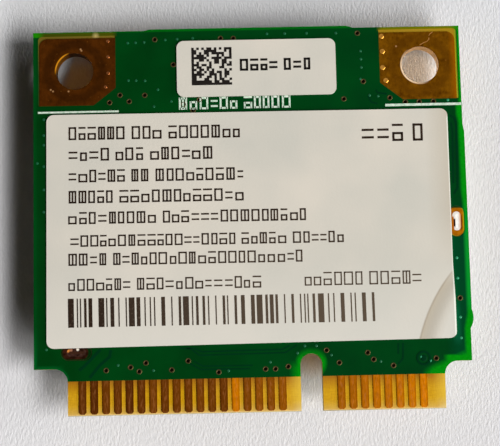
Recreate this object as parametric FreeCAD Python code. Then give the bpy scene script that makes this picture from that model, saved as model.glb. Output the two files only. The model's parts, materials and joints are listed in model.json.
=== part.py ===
import FreeCAD, Part
import os

# Half-height mini card that puts a laptop on a wireless network.
#
# The card is modelled as it lies on a table with its labels up. X runs along the long
# edge, Y runs from the edge fingers towards the screw holes, and Z comes out of the
# label side. Z = 0 is the outer face of the shield cover, which the card lies on.
# All sizes are in millimetres. Left and right are those of the label side.

# Board
board_width = 30.0
board_length = 26.8
board_thickness = 1.0
skin = 0.035                    # thickness of a copper layer, and of the solder mask beside it
plating = 0.02                  # copper on the wall of a plated hole or slot
left_corner_run = 8.2           # the middle of the screw end stands proud of its two corners
right_corner_run = 8.0
left_corner_drop = 0.10
right_corner_drop = 0.15
corner_ramp = 0.45
upper_relief = 0.10             # the right edge is routed back a little near the screw end
upper_relief_run = 7.15
upper_relief_ramp = 0.6
lower_relief = 0.12             # and again below the nub
nub_height = 2.85               # from the shoulders to the stub left by breaking the panel
nub_length = 1.3
nub_proud = 0.10

# Edge connector
tab_height = 3.2
left_shoulder = 2.3
right_shoulder = 2.0
shoulder_radius = 0.9
key_to_tab_side = 9.1           # from the middle of the key notch to the tab's right side
key_width = 1.5
key_depth = 3.9
key_finger_gap = 4.0            # between the two fingers beside the key notch
finger_pitch = 0.8
finger_width = 0.52
left_tab_margin = 1.0           # least distance from a finger's middle to the tab's side
right_tab_margin = 1.5
finger_end_gap = 0.01           # from the fingers' tips to the bevel
finger_tip_chamfer = 0.13
mask_line_height = 2.35         # the mask ends this far from the end of the board
bevel_run = 0.08                # both sides are bevelled at the end of the tab
bevel_depth = 0.12

# Screw holes and their copper lands
hole_radius = 1.3
hole_side_margin = 2.9
hole_end_margin = 2.9
land_inward = 2.85              # reach of the land from the middle of its hole
land_outward = 2.48
land_down = 2.45
land_up = 2.35
land_corner_radius = 0.6
land_chamfer_x = 1.55
land_chamfer_y = 1.22
left_window_side = 0.08         # bare laminate beside the left land, and above it
left_window_top = 0.17
right_window_side = 0.17
right_window_top = 0.22

# Printed lines below the lands
line_width = 0.17
ink_thickness = 0.02
left_line_inset = 0.32
left_line_length = 5.63
left_line_drop = 2.93
right_line_inset = 0.14
right_line_length = 5.31
right_line_drop = 2.85

# Labels
label_thickness = 0.1
label_corner_radius = 0.5
large_label_left_margin = 0.9
large_label_right_margin = 1.17
large_label_foot = 1.35         # above the shoulders
large_label_drop = 3.14         # below the middle of the screw holes
small_label_width = 11.14
small_label_height = 4.0
small_label_shift = 0.61        # to the right of the middle of the board
small_label_end_margin = 0.9

# Shield can, a folded frame with two legs and a snap-on cover
shield_height = 1.6
sheet = 0.15
left_wall_margin = 1.6          # from the board's edges to the middle of each wall
right_wall_margin = 0.785
bottom_wall_height = 1.1        # above the shoulders
top_wall_drop = 3.9             # below the middle of the screw holes
corner_slit = 0.12              # the folded walls don't quite meet at their corners
lip_width = 0.9
bridge_width = 1.6
pickup_size = 4.2               # square pad in the bridge, where a placing machine lifts the frame
cover_clearance = 0.02
skirt_depth = 1.15
cover_bend_radius = 0.12
corner_notch = 0.9              # open corners let the cover's four flaps spring
latch_length = 1.2              # bars pressed into the flaps snap into windows in the walls
latch_width = 0.3
latch_clearance = 0.05
latch_depth = 0.6               # from the cover's outer face to the middle of the bars
latch_spacing = 8.4
ground_land_outside = 0.2       # reach of the frame's land beyond the walls' faces
ground_land_inside = 0.5

# Legs of the frame, in plated slots through the board
leg_width = 1.0
slot_width = 0.57
slot_length = 1.32
slot_ring_side = 0.21
slot_ring_end = 0.35
window_gap = 0.06               # from the edge of a small land to the edge of the mask
right_leg_height = 8.5          # above the bottom wall
bottom_leg_inset = 1.3          # from the left wall

# Four columns of parts stand inside the can: one by the left wall, two by the right
# wall, and the radio chip's between them. Gaps are measured from the walls' middles.
part_gap = 0.3                  # least gap between neighbours
wall_gap = 0.45                 # from a wall's middle to the parts beside it

# Radio chip
chip_size = 8.0
chip_height = 0.85
chip_leads_a_side = 14
chip_lead_pitch = 0.5
chip_lead_width = 0.24
chip_lead_length = 0.4
chip_lead_height = 0.2
chip_chamfer = 0.35

# Crystal
crystal_length = 3.2
crystal_width = 2.5
crystal_base_height = 0.35
crystal_lid_height = 0.35
crystal_lid_inset = 0.15

# Memory chip, with eight bent leads
memory_length = 3.0
memory_width = 3.0
memory_height = 0.85
memory_standoff = 0.1
memory_leads_a_side = 4
memory_lead_pitch = 0.65
memory_lead_width = 0.24
memory_lead_reach = 0.95

# Voltage regulator, with five bent leads
regulator_length = 2.9
regulator_width = 1.6
regulator_height = 0.95
regulator_standoff = 0.05
regulator_lead_pitch = 0.95
regulator_lead_width = 0.4
regulator_lead_reach = 0.6

bent_lead_thickness = 0.15
bent_lead_foot = 0.42

# Parts with a terminal at each end
inductor_length = 2.5
inductor_width = 2.0
inductor_height = 1.0
inductor_band = 0.45
bulk_capacitor_length = 2.0
bulk_capacitor_width = 1.25
bulk_capacitor_height = 0.9
bulk_capacitor_band = 0.4
balun_length = 2.0
balun_width = 1.25
balun_height = 0.7
balun_band = 0.35
balun_spacing = 4.6
small_part_length = 1.0
small_part_width = 0.5
capacitor_height = 0.5
capacitor_band = 0.25
resistor_height = 0.35
resistor_band = 0.22
capacitors_a_row = 5
capacitor_row_pitch = 1.8
capacitors_a_column = 4
capacitor_column_pitch = 2.1
resistors_a_row = 3
resistor_pitch = 1.1

# Radio amplifiers and antenna switches
amplifier_size = 2.5
amplifier_height = 0.9
switch_size = 2.0
switch_height = 0.6
foot_frame_height = 0.12        # height and width of the terminals round such a part's foot
foot_frame_width = 0.12

# Miniature coaxial antenna sockets
socket_base_size = 2.6
socket_base_height = 0.35
socket_height = 1.25
contact_radius = 1.0
contact_bore_radius = 0.82
groove_depth = 0.06
groove_height = 0.82            # from the board to the middle of the snap groove
groove_width = 0.2
pin_radius = 0.25
pin_height = 1.1
strap_width = 1.8
strap_thickness = 0.15
foot_thickness = 0.12
foot_reach = 0.35
signal_tab_width = 0.5
land_beyond_foot = 0.2
left_socket_margin = 7.2        # from the board's left edge
left_socket_drop = 2.2          # from the end of the board
left_socket_turns = 2
right_socket_margin = 8.4
right_socket_drop = 2.5
right_socket_turns = 1

# Planes and lines that follow from the sizes above
component_z = shield_height
label_z = shield_height + board_thickness
laminate_low = component_z + skin
laminate_high = label_z - skin
board_left = -board_width / 2
board_right = board_width / 2
board_bottom = -board_length / 2
board_top = board_length / 2
shoulder_y = board_bottom + tab_height
mask_line_y = board_bottom + mask_line_height
tab_left = board_left + left_shoulder
tab_right = board_right - right_shoulder
key_x = tab_right - key_to_tab_side
left_hole_x = board_left + hole_side_margin
right_hole_x = board_right - hole_side_margin
hole_y = board_top - hole_end_margin
wall_left_x = board_left + left_wall_margin
wall_right_x = board_right - right_wall_margin
wall_bottom_y = shoulder_y + bottom_wall_height
wall_top_y = hole_y - top_wall_drop
can_x = (wall_left_x + wall_right_x) / 2
can_y = (wall_bottom_y + wall_top_y) / 2
left_group_x = wall_left_x + wall_gap + crystal_length / 2
inductor_x = wall_right_x - wall_gap - inductor_length / 2
regulator_x = inductor_x - inductor_length / 2 - part_gap - regulator_length / 2
chip_x = (left_group_x + crystal_length / 2 + regulator_x - regulator_length / 2) / 2
chip_y = can_y + (small_part_length - balun_width) / 2


def vector(x, y, z=0.0):
    return FreeCAD.Vector(x, y, z)


def box(x0, x1, y0, y1, z0, z1):
    return Part.makeBox(x1 - x0, y1 - y0, z1 - z0, vector(x0, y0, z0))


def block(x, y, size_x, size_y, z0, z1):
    """Box centred on (x, y)."""
    return box(x - size_x / 2, x + size_x / 2, y - size_y / 2, y + size_y / 2, z0, z1)


def on_board(x, y, size_x, size_y, low, high):
    """Box centred on (x, y) on the component side, between two heights above the board."""
    return block(x, y, size_x, size_y, component_z - high, component_z - low)


def cylinder(x, y, radius, z0, z1):
    return Part.makeCylinder(radius, z1 - z0, vector(x, y, z0))


def outline(steps):
    """Closed wire in the XY plane. A step is a corner, or (via, end) for an arc."""
    edges = []
    here = steps[0]
    for step in steps[1:] + steps[:1]:
        if isinstance(step[0], tuple):
            via, end = step
            edges.append(Part.Arc(vector(*here), vector(*via), vector(*end)).toShape())
        else:
            end = step
            edges.append(Part.makeLine(vector(*here), vector(*end)))
        here = end
    return Part.Wire(edges)


def prism(wire, z0, z1):
    solid = Part.Face(wire).extrude(vector(0, 0, z1 - z0))
    solid.translate(vector(0, 0, z0))
    return solid


def upright_edges(solid):
    """The edges that run along Z."""
    edges = []
    for edge in solid.Edges:
        if len(edge.Vertexes) == 2:
            start, end = (vertex.Point for vertex in edge.Vertexes)
            if abs(start.x - end.x) < 1e-6 and abs(start.y - end.y) < 1e-6:
                edges.append(edge)
    return edges


def stadium(x, y, length, width, along_y, z0, z1):
    """Slot-shaped plate with half-round ends, length measured end to end."""
    half = (length - width) / 2
    if along_y:
        middle = block(x, y, width, 2 * half, z0, z1)
        ends = [(x, y - half), (x, y + half)]
    else:
        middle = block(x, y, 2 * half, width, z0, z1)
        ends = [(x - half, y), (x + half, y)]
    rounds = [cylinder(cx, cy, width / 2, z0, z1) for cx, cy in ends]
    return middle.fuse(rounds).removeSplitter()


def turned(profile):
    """Solid of revolution about the Z axis. Points are (radius, z)."""
    points = [vector(radius, 0, z) for radius, z in profile + profile[:1]]
    face = Part.Face(Part.makePolygon(points))
    return face.revolve(vector(0, 0, 0), vector(0, 0, 1), 360)


def board_outline():
    upper_x = board_right - upper_relief
    lower_x = board_right - lower_relief
    relief_y = board_top - upper_relief_run
    nub_y = shoulder_y + nub_height
    proud_left = board_left + left_corner_run
    proud_right = board_right - right_corner_run
    key_left = key_x - key_width / 2
    key_right = key_x + key_width / 2
    key_round_y = board_bottom + key_depth - key_width / 2
    bend = shoulder_radius * (1 - 0.5 ** 0.5)
    fillet_end = shoulder_y - shoulder_radius
    return outline([
        (tab_left, board_bottom),
        (key_left, board_bottom),
        (key_left, key_round_y),
        ((key_x, board_bottom + key_depth), (key_right, key_round_y)),
        (key_right, board_bottom),
        (tab_right, board_bottom),
        (tab_right, fillet_end),
        ((tab_right + bend, shoulder_y - bend), (tab_right + shoulder_radius, shoulder_y)),
        (lower_x, shoulder_y),
        (lower_x, nub_y - nub_length / 2),
        ((board_right + nub_proud, nub_y), (board_right, nub_y + nub_length / 2)),
        (board_right, relief_y - upper_relief_ramp),
        (upper_x, relief_y),
        (upper_x, board_top - right_corner_drop),
        (proud_right + corner_ramp, board_top - right_corner_drop),
        (proud_right, board_top),
        (proud_left, board_top),
        (proud_left - corner_ramp, board_top - left_corner_drop),
        (board_left, board_top - left_corner_drop),
        (board_left, shoulder_y),
        (tab_left - shoulder_radius, shoulder_y),
        ((tab_left - bend, shoulder_y - bend), (tab_left, fillet_end)),
    ])


def tab_bevel(z_face, z_inner):
    """Wedge that is cut from one side along the end of the tab."""
    corners = [
        (board_bottom, z_face),
        (board_bottom + bevel_run, z_face),
        (board_bottom, z_inner),
        (board_bottom, z_face),
    ]
    wire = Part.makePolygon([vector(tab_left, y, z) for y, z in corners])
    return Part.Face(wire).extrude(vector(tab_right - tab_left, 0, 0))


def legs():
    """Middle of each leg in plan, and whether its wall runs along Y."""
    return [
        (wall_right_x, wall_bottom_y + right_leg_height, True),
        (wall_left_x + bottom_leg_inset, wall_bottom_y, False),
    ]


def leg_slots(grow, z0, z1):
    """The slots for the legs, grown by the same amount all round."""
    return [
        stadium(x, y, slot_length + 2 * grow, slot_width + 2 * grow, along_y, z0, z1)
        for x, y, along_y in legs()
    ]


def board_laminate():
    board = prism(board_outline(), laminate_low, laminate_high)
    cuts = [
        cylinder(x, hole_y, hole_radius + plating, laminate_low, laminate_high)
        for x in (left_hole_x, right_hole_x)
    ]
    cuts += leg_slots(plating, laminate_low, laminate_high)
    cuts.append(tab_bevel(laminate_high, laminate_high - bevel_depth))
    cuts.append(tab_bevel(laminate_low, laminate_low + bevel_depth))
    return board.cut(cuts)


def land_outline(hole_x, out, side_gap, top_gap, corner_radius):
    """Land round a screw hole, grown at its outer side and top. out is -1 or 1."""
    inner = hole_x - out * land_inward
    outer = hole_x + out * (land_outward + side_gap)
    bottom = hole_y - land_down
    top = hole_y + land_up + top_gap
    round_x = outer - out * corner_radius
    bend = corner_radius * (1 - 0.5 ** 0.5)
    return outline([
        (inner + out * land_chamfer_x, bottom),
        (outer, bottom),
        (outer, top - corner_radius),
        ((outer - out * bend, top - bend), (round_x, top)),
        (inner, top),
        (inner, bottom + land_chamfer_y),
    ])


def land_windows(z0, z1):
    radius = land_corner_radius / 2
    left = land_outline(left_hole_x, -1, left_window_side, left_window_top, radius)
    right = land_outline(right_hole_x, 1, right_window_side, right_window_top, radius)
    return [prism(left, z0, z1), prism(right, z0, z1)]


def screw_land(hole_x, out):
    """Copper on both sides of the board, joined by the plated wall of the hole."""
    wire = land_outline(hole_x, out, 0, 0, land_corner_radius)
    plates = [prism(wire, component_z, laminate_low), prism(wire, laminate_high, label_z)]
    barrel = cylinder(hole_x, hole_y, hole_radius + plating, laminate_low, laminate_high)
    bore = cylinder(hole_x, hole_y, hole_radius, component_z, label_z)
    return barrel.fuse(plates).cut(bore)


def slot_rings(grow, z0, z1):
    """Copper rings on the label side, round the slots for the legs."""
    length = slot_length + 2 * (slot_ring_end + grow)
    width = slot_width + 2 * (slot_ring_side + grow)
    return [stadium(x, y, length, width, along_y, z0, z1) for x, y, along_y in legs()]


def leg_slot_barrels():
    rings = slot_rings(0, laminate_high, label_z)
    walls = leg_slots(plating, component_z, label_z)
    bores = leg_slots(0, component_z, label_z)
    return [
        ring.fuse(wall).removeSplitter().cut(bore)
        for ring, wall, bore in zip(rings, walls, bores)
    ]


def can_plan(grow, z0, z1):
    """Plate over the frame's outside, grown all round, or shrunk by a negative amount."""
    reach = sheet / 2 + grow
    return box(
        wall_left_x - reach, wall_right_x + reach,
        wall_bottom_y - reach, wall_top_y + reach, z0, z1)


def can_corners(size, z0, z1):
    """Square columns centred on the four corners of the can."""
    return [
        block(x, y, size, size, z0, z1)
        for x in (wall_left_x, wall_right_x)
        for y in (wall_bottom_y, wall_top_y)
    ]


def ground_ring(grow, z0, z1):
    outer = can_plan(ground_land_outside + grow, z0, z1)
    inner = can_plan(-sheet - ground_land_inside - grow, z0, z1)
    return outer.cut(inner)


def shield_ground_land():
    ring = ground_ring(0, component_z, laminate_low)
    return ring.cut(leg_slots(plating, component_z, laminate_low))


def solder_mask(z0, z1, windows):
    whole = prism(board_outline(), z0, z1)
    below_line = box(2 * board_left, 2 * board_right, 2 * board_bottom, mask_line_y, z0, z1)
    return whole.cut([below_line] + windows)


def label_side_mask():
    windows = land_windows(laminate_high, label_z)
    windows += slot_rings(window_gap, laminate_high, label_z)
    return solder_mask(laminate_high, label_z, windows)


def component_side_mask():
    windows = land_windows(component_z, laminate_low)
    windows.append(ground_ring(window_gap, component_z, laminate_low))
    windows += socket_lands(window_gap, component_z, laminate_low)
    return solder_mask(component_z, laminate_low, windows).Solids


def finger_places():
    """Fingers march away from the key notch on both sides, as far as the tab reaches."""
    places = []
    for way, end in ((-1, tab_left + left_tab_margin), (1, tab_right - right_tab_margin)):
        first = key_x + way * key_finger_gap / 2
        count = int(way * (end - first) / finger_pitch + 0.001) + 1
        places += [first + way * finger_pitch * i for i in range(count)]
    return places


def fingers(z0, z1):
    """Bare contacts from the mask line down, with eased corners at their tips."""
    tip_y = board_bottom + bevel_run + finger_end_gap
    half = finger_width / 2
    ease = finger_tip_chamfer
    made = []
    for x in finger_places():
        wire = outline([
            (x - half + ease, tip_y),
            (x + half - ease, tip_y),
            (x + half, tip_y + ease),
            (x + half, mask_line_y),
            (x - half, mask_line_y),
            (x - half, tip_y + ease),
        ])
        made.append(prism(wire, z0, z1))
    return made


def printed_lines():
    left_x = board_left + left_line_inset
    right_x = board_right - right_line_inset
    lines = []
    for x0, x1, y in (
        (left_x, left_x + left_line_length, hole_y - left_line_drop),
        (right_x - right_line_length, right_x, hole_y - right_line_drop),
    ):
        half = line_width / 2
        lines.append(box(x0, x1, y - half, y + half, label_z, label_z + ink_thickness))
    return lines


def label(x0, x1, y0, y1):
    plate = box(x0, x1, y0, y1, label_z, label_z + label_thickness)
    return plate.makeFillet(label_corner_radius, upright_edges(plate))


def large_label():
    return label(
        board_left + large_label_left_margin, board_right - large_label_right_margin,
        shoulder_y + large_label_foot, hole_y - large_label_drop)


def small_label():
    half = small_label_width / 2
    top = board_top - small_label_end_margin
    return label(
        small_label_shift - half, small_label_shift + half, top - small_label_height, top)


def latches(grow, start, end):
    """Bars on all four walls, from start to end measured outwards from the frame's faces."""
    length = latch_length + 2 * grow
    low = latch_depth - latch_width / 2 - grow
    high = latch_depth + latch_width / 2 + grow
    middle = (start + end) / 2 + sheet / 2
    deep = end - start
    bars = []
    for step in (-1, 0, 1):
        x = can_x + step * latch_spacing
        bars.append(block(x, wall_bottom_y - middle, length, deep, low, high))
        bars.append(block(x, wall_top_y + middle, length, deep, low, high))
    bars.append(block(wall_left_x - middle, can_y, deep, length, low, high))
    bars.append(block(wall_right_x + middle, can_y, deep, length, low, high))
    return bars


def leg_solid(x, y, along_y, z0, z1):
    if along_y:
        return block(x, y, sheet, leg_width, z0, z1)
    return block(x, y, leg_width, sheet, z0, z1)


def shield_frame():
    """Four folded walls with an inward lip, a pick-up bridge and two legs."""
    top = sheet + cover_clearance
    walls = can_plan(0, top, component_z)
    hollow = can_plan(-sheet, top + sheet, component_z)
    window = can_plan(-lip_width, top, top + sheet)
    bridge = box(
        can_x - bridge_width / 2, can_x + bridge_width / 2,
        wall_bottom_y, wall_top_y, top, top + sheet)
    pickup = block(can_x, can_y, pickup_size, pickup_size, top, top + sheet)
    slits = can_corners(sheet + corner_slit, top + sheet, component_z)
    windows = latches(latch_clearance, -2 * sheet, sheet)
    feet = [leg_solid(x, y, along_y, component_z - sheet, label_z) for x, y, along_y in legs()]
    body = walls.cut([hollow, window]).fuse([bridge, pickup]).removeSplitter()
    return body.cut(windows + slits).fuse(feet).removeSplitter()


def shield_cover():
    """Flat lid with four folded flaps, whose pressed bars snap into the frame."""
    shell = can_plan(cover_clearance + sheet, 0, skirt_depth)
    rim = [edge for edge in shell.Edges if edge.BoundBox.ZMax < sheet / 2]
    shell = shell.makeFillet(cover_bend_radius, rim)
    hollow = can_plan(cover_clearance, sheet, skirt_depth)
    notches = can_corners(2 * corner_notch, 2 * sheet, skirt_depth)
    press = sheet / 2
    outer_face = cover_clearance + sheet
    dents = latches(0, outer_face - press, outer_face)
    bars = latches(0, -press, cover_clearance)
    return shell.cut([hollow] + notches + dents).fuse(bars).removeSplitter()


def leg_solder():
    """Solder that fills each slot round its leg."""
    bores = leg_slots(0, component_z, label_z)
    return [
        bore.cut(leg_solid(x, y, along_y, component_z, label_z))
        for bore, (x, y, along_y) in zip(bores, legs())
    ]


def radio_chip_body():
    """Square moulding whose rim stands on its leads, with one corner cut off."""
    inner = chip_size - 2 * chip_lead_length
    upper = on_board(chip_x, chip_y, chip_size, chip_size, chip_lead_height, chip_height)
    upper = upper.makeChamfer(chip_chamfer, upright_edges(upper)[:1])
    lower = on_board(chip_x, chip_y, inner, inner, 0, chip_lead_height)
    return upper.fuse(lower)


def radio_chip_leads():
    middle = chip_size / 2 - chip_lead_length / 2
    made = []
    for i in range(chip_leads_a_side):
        along = (i - (chip_leads_a_side - 1) / 2) * chip_lead_pitch
        for side in (-1, 1):
            made.append(on_board(
                chip_x + along, chip_y + side * middle,
                chip_lead_width, chip_lead_length, 0, chip_lead_height))
            made.append(on_board(
                chip_x + side * middle, chip_y + along,
                chip_lead_length, chip_lead_width, 0, chip_lead_height))
    return made


def crystal_place():
    """Middle of the crystal, above the resistors in the lower left corner."""
    below = wall_gap + 2 * (small_part_length + part_gap)
    return left_group_x, wall_bottom_y + below + crystal_width / 2


def crystal_base():
    x, y = crystal_place()
    return on_board(x, y, crystal_length, crystal_width, 0, crystal_base_height)


def crystal_lid():
    x, y = crystal_place()
    top = crystal_base_height + crystal_lid_height
    size_x = crystal_length - 2 * crystal_lid_inset
    size_y = crystal_width - 2 * crystal_lid_inset
    return on_board(x, y, size_x, size_y, crystal_base_height, top)


def bent_lead(x, y_body, side, width, reach, shoulder):
    """Lead that leaves a body's side at shoulder height and bends down to the board."""
    t = bent_lead_thickness
    knee = reach - bent_lead_foot
    profile = [
        (0, shoulder), (knee, shoulder), (knee, t), (reach, t), (reach, 0),
        (knee - t, 0), (knee - t, shoulder - t), (0, shoulder - t),
    ]
    points = [
        vector(x - width / 2, y_body + side * out, component_z - height)
        for out, height in profile + profile[:1]
    ]
    return Part.Face(Part.makePolygon(points)).extrude(vector(width, 0, 0))


def memory_place():
    """Middle of the memory chip, in the upper left corner."""
    return left_group_x, wall_top_y - wall_gap - memory_lead_reach - memory_width / 2


def memory_chip_body():
    x, y = memory_place()
    top = memory_standoff + memory_height
    return on_board(x, y, memory_length, memory_width, memory_standoff, top)


def memory_chip_leads():
    x, y = memory_place()
    shoulder = memory_standoff + memory_height / 2
    made = []
    for i in range(memory_leads_a_side):
        along = (i - (memory_leads_a_side - 1) / 2) * memory_lead_pitch
        for side in (-1, 1):
            made.append(bent_lead(
                x + along, y + side * memory_width / 2, side,
                memory_lead_width, memory_lead_reach, shoulder))
    return made


def regulator_place():
    """Middle of the regulator, above a bulk capacitor."""
    below = wall_gap + bulk_capacitor_width + part_gap + regulator_lead_reach
    return regulator_x, wall_bottom_y + below + regulator_width / 2


def regulator_body():
    x, y = regulator_place()
    top = regulator_standoff + regulator_height
    return on_board(x, y, regulator_length, regulator_width, regulator_standoff, top)


def regulator_leads():
    """Three leads on one side and two on the other."""
    x, y = regulator_place()
    shoulder = regulator_standoff + regulator_height / 2
    made = []
    for side, steps in ((-1, (-1, 0, 1)), (1, (-1, 1))):
        for step in steps:
            made.append(bent_lead(
                x + step * regulator_lead_pitch, y + side * regulator_width / 2, side,
                regulator_lead_width, regulator_lead_reach, shoulder))
    return made


def two_terminal(places, length, width, height, band):
    """Bodies and end terminals of small parts. A place is x, y and quarter turns."""
    bodies = []
    terminals = []
    for x, y, turns in places:
        body = on_board(x, y, length - 2 * band, width, 0, height)
        ends = [
            on_board(x + side * (length - band) / 2, y, band, width, 0, height)
            for side in (-1, 1)
        ]
        for solid in [body] + ends:
            solid.rotate(vector(x, y, 0), vector(0, 0, 1), 90 * turns)
        bodies.append(body)
        terminals += ends
    return bodies, terminals


def small_capacitors():
    """A row below the radio chip, and a column on each side of it."""
    away = chip_size / 2 + part_gap + small_part_length / 2
    places = []
    for i in range(capacitors_a_row):
        along = (i - (capacitors_a_row - 1) / 2) * capacitor_row_pitch
        places.append((chip_x + along, chip_y - away, 1))
    for side in (-1, 1):
        for i in range(capacitors_a_column):
            along = (i - (capacitors_a_column - 1) / 2) * capacitor_column_pitch
            places.append((chip_x + side * away, chip_y + along, 0))
    return two_terminal(
        places, small_part_length, small_part_width, capacitor_height, capacitor_band)


def resistors():
    """Two rows in the lower left corner, below the crystal."""
    places = []
    for row in (0, 1):
        y = wall_bottom_y + wall_gap + small_part_length / 2
        y += row * (small_part_length + part_gap)
        for i in range(resistors_a_row):
            along = (i - (resistors_a_row - 1) / 2) * resistor_pitch
            places.append((left_group_x + along, y, 1))
    return two_terminal(
        places, small_part_length, small_part_width, resistor_height, resistor_band)


def baluns():
    """Two above the radio chip, one for each antenna."""
    y = chip_y + chip_size / 2 + part_gap + balun_width / 2
    places = [(chip_x + side * balun_spacing / 2, y, 0) for side in (-1, 1)]
    return two_terminal(places, balun_length, balun_width, balun_height, balun_band)


def inductor_y():
    above_capacitor = wall_bottom_y + wall_gap + bulk_capacitor_width + part_gap
    return above_capacitor + inductor_width / 2


def power_inductor():
    places = [(inductor_x, inductor_y(), 0)]
    return two_terminal(
        places, inductor_length, inductor_width, inductor_height, inductor_band)


def bulk_capacitors():
    """Two below the regulator and the inductor, and one upright above the inductor."""
    low_y = wall_bottom_y + wall_gap + bulk_capacitor_width / 2
    upright_y = inductor_y() + inductor_width / 2 + part_gap + bulk_capacitor_length / 2
    places = [
        (regulator_x, low_y, 0), (inductor_x, low_y, 0), (inductor_x, upright_y, 1)]
    return two_terminal(
        places, bulk_capacitor_length, bulk_capacitor_width,
        bulk_capacitor_height, bulk_capacitor_band)


def leadless_pair(x, size, height):
    """Two square mouldings, one below the other by the top wall, on flat foot terminals."""
    inner = size - 2 * foot_frame_width
    bodies = []
    feet = []
    for place in (0, 1):
        y = wall_top_y - wall_gap - size / 2 - place * (size + part_gap)
        upper = on_board(x, y, size, size, foot_frame_height, height)
        lower = on_board(x, y, inner, inner, 0, foot_frame_height)
        bodies.append(upper.fuse(lower))
        for side in (-1, 1):
            feet.append(on_board(
                x, y + side * (size - foot_frame_width) / 2,
                inner, foot_frame_width, 0, foot_frame_height))
    return bodies, feet


def radio_amplifiers():
    return leadless_pair(regulator_x, amplifier_size, amplifier_height)


def antenna_switches():
    return leadless_pair(inductor_x, switch_size, switch_height)


def left_socket(solid):
    """Turn a part that was made at the origin, and move it to the left socket's place."""
    solid.rotate(vector(0, 0, 0), vector(0, 0, 1), 90 * left_socket_turns)
    solid.translate(vector(board_left + left_socket_margin, board_top - left_socket_drop, 0))
    return solid


def right_socket(solid):
    solid.rotate(vector(0, 0, 0), vector(0, 0, 1), 90 * right_socket_turns)
    solid.translate(vector(board_right - right_socket_margin, board_top - right_socket_drop, 0))
    return solid


def signal_contact():
    """Centre pin and the tab that brings the signal to it under the base."""
    pin = cylinder(0, 0, pin_radius, component_z - pin_height, component_z)
    reach = socket_base_size / 2 + foot_reach
    tab = box(
        -reach, 0, -signal_tab_width / 2, signal_tab_width / 2,
        component_z - foot_thickness, component_z)
    return pin.fuse(tab).removeSplitter()


def socket_base():
    base = on_board(0, 0, socket_base_size, socket_base_size, 0, socket_base_height)
    return base.cut(signal_contact())


def outer_contact():
    """Turned ring with a V-shaped snap groove, on a strap that folds down over the base."""
    def z(height):
        return component_z - height

    ring = turned([
        (contact_bore_radius, z(socket_base_height)),
        (contact_radius, z(socket_base_height)),
        (contact_radius, z(groove_height - groove_width / 2)),
        (contact_radius - groove_depth, z(groove_height)),
        (contact_radius, z(groove_height + groove_width / 2)),
        (contact_radius, z(socket_height)),
        (contact_bore_radius, z(socket_height)),
    ])
    half = socket_base_size / 2
    strap_top = socket_base_height + strap_thickness
    straps = []
    for side in (-1, 1):
        strap = on_board(
            0, side * (half + contact_bore_radius) / 2, strap_width,
            half - contact_bore_radius, socket_base_height, strap_top)
        drop = on_board(
            0, side * (half + strap_thickness / 2), strap_width, strap_thickness, 0, strap_top)
        foot = on_board(
            0, side * (half + foot_reach / 2), strap_width, foot_reach, 0, foot_thickness)
        straps += [strap, drop, foot]
    bore = cylinder(0, 0, contact_bore_radius, z(socket_height), z(socket_base_height))
    return ring.fuse(straps).removeSplitter().cut(bore)


def socket_lands(grow, z0, z1):
    """Two ground lands and one signal land under each socket."""
    half = socket_base_size / 2
    reach = foot_reach + land_beyond_foot
    made = []
    for place in (left_socket, right_socket):
        for side in (-1, 1):
            ground = block(
                0, side * (half + reach / 2), strap_width + 2 * grow, reach + 2 * grow, z0, z1)
            made.append(place(ground))
        signal = block(
            -half - reach / 2, 0, reach + 2 * grow, signal_tab_width + 2 * grow, z0, z1)
        made.append(place(signal))
    return made


def save(name, shape):
    """Write one node. A list is a group of separate solids."""
    solids = shape if isinstance(shape, list) else [shape]
    whole = Part.makeCompound(solids) if len(solids) > 1 else solids[0]
    whole.exportStep(os.path.join("parts", name + ".step"))
    print(name, "solids", len(whole.Solids), "volume", round(whole.Volume, 4))


def save_pair(name, pair, other):
    """Write the bodies of some parts as one node and their terminals as another."""
    bodies, terminals = pair
    save(name + "_bodies", bodies)
    save(name + other, terminals)


def main():
    os.makedirs("parts", exist_ok=True)
    save("board_laminate", board_laminate())
    save("label_side_mask", label_side_mask())
    save("component_side_mask", component_side_mask())
    save("label_side_fingers", fingers(laminate_high, label_z))
    save("component_side_fingers", fingers(component_z, laminate_low))
    save("left_screw_land", screw_land(left_hole_x, -1))
    save("right_screw_land", screw_land(right_hole_x, 1))
    save("leg_slot_barrels", leg_slot_barrels())
    save("shield_ground_land", shield_ground_land())
    save("printed_lines", printed_lines())
    save("large_label", large_label())
    save("small_label", small_label())
    save("shield_frame", shield_frame())
    save("shield_cover", shield_cover())
    save("leg_solder", leg_solder())
    save("radio_chip_body", radio_chip_body())
    save("radio_chip_leads", radio_chip_leads())
    save("crystal_base", crystal_base())
    save("crystal_lid", crystal_lid())
    save("memory_chip_body", memory_chip_body())
    save("memory_chip_leads", memory_chip_leads())
    save("regulator_body", regulator_body())
    save("regulator_leads", regulator_leads())
    save_pair("power_inductor", power_inductor(), "_terminals")
    save_pair("bulk_capacitor", bulk_capacitors(), "_terminals")
    save_pair("small_capacitor", small_capacitors(), "_terminals")
    save_pair("resistor", resistors(), "_terminals")
    save_pair("balun", baluns(), "_terminals")
    save_pair("radio_amplifier", radio_amplifiers(), "_terminals")
    save_pair("antenna_switch", antenna_switches(), "_terminals")
    save("socket_lands", socket_lands(0, component_z, laminate_low))
    for name, place in (("left_socket", left_socket), ("right_socket", right_socket)):
        save(name + "_base", place(socket_base()))
        save(name + "_contact", place(outer_contact()))
        save(name + "_pin", place(signal_contact()))


main()
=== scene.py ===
# %% [markdown]
# # A half-height wireless card
#
# The CAD model already has every solid part of the card. This lesson dresses it: it gives each part
# its finish, puts a creased sheet in place of the flat large label, prints plain marks on both labels,
# and adds the copper work that is too fine for the solids, such as vias and tracks. All measures below
# are in millimetres, and one factor turns them into Blender's metres.

# %% Load the card and measure it
import json
import math
import random

import bpy
from mathutils import Matrix, Vector


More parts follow.
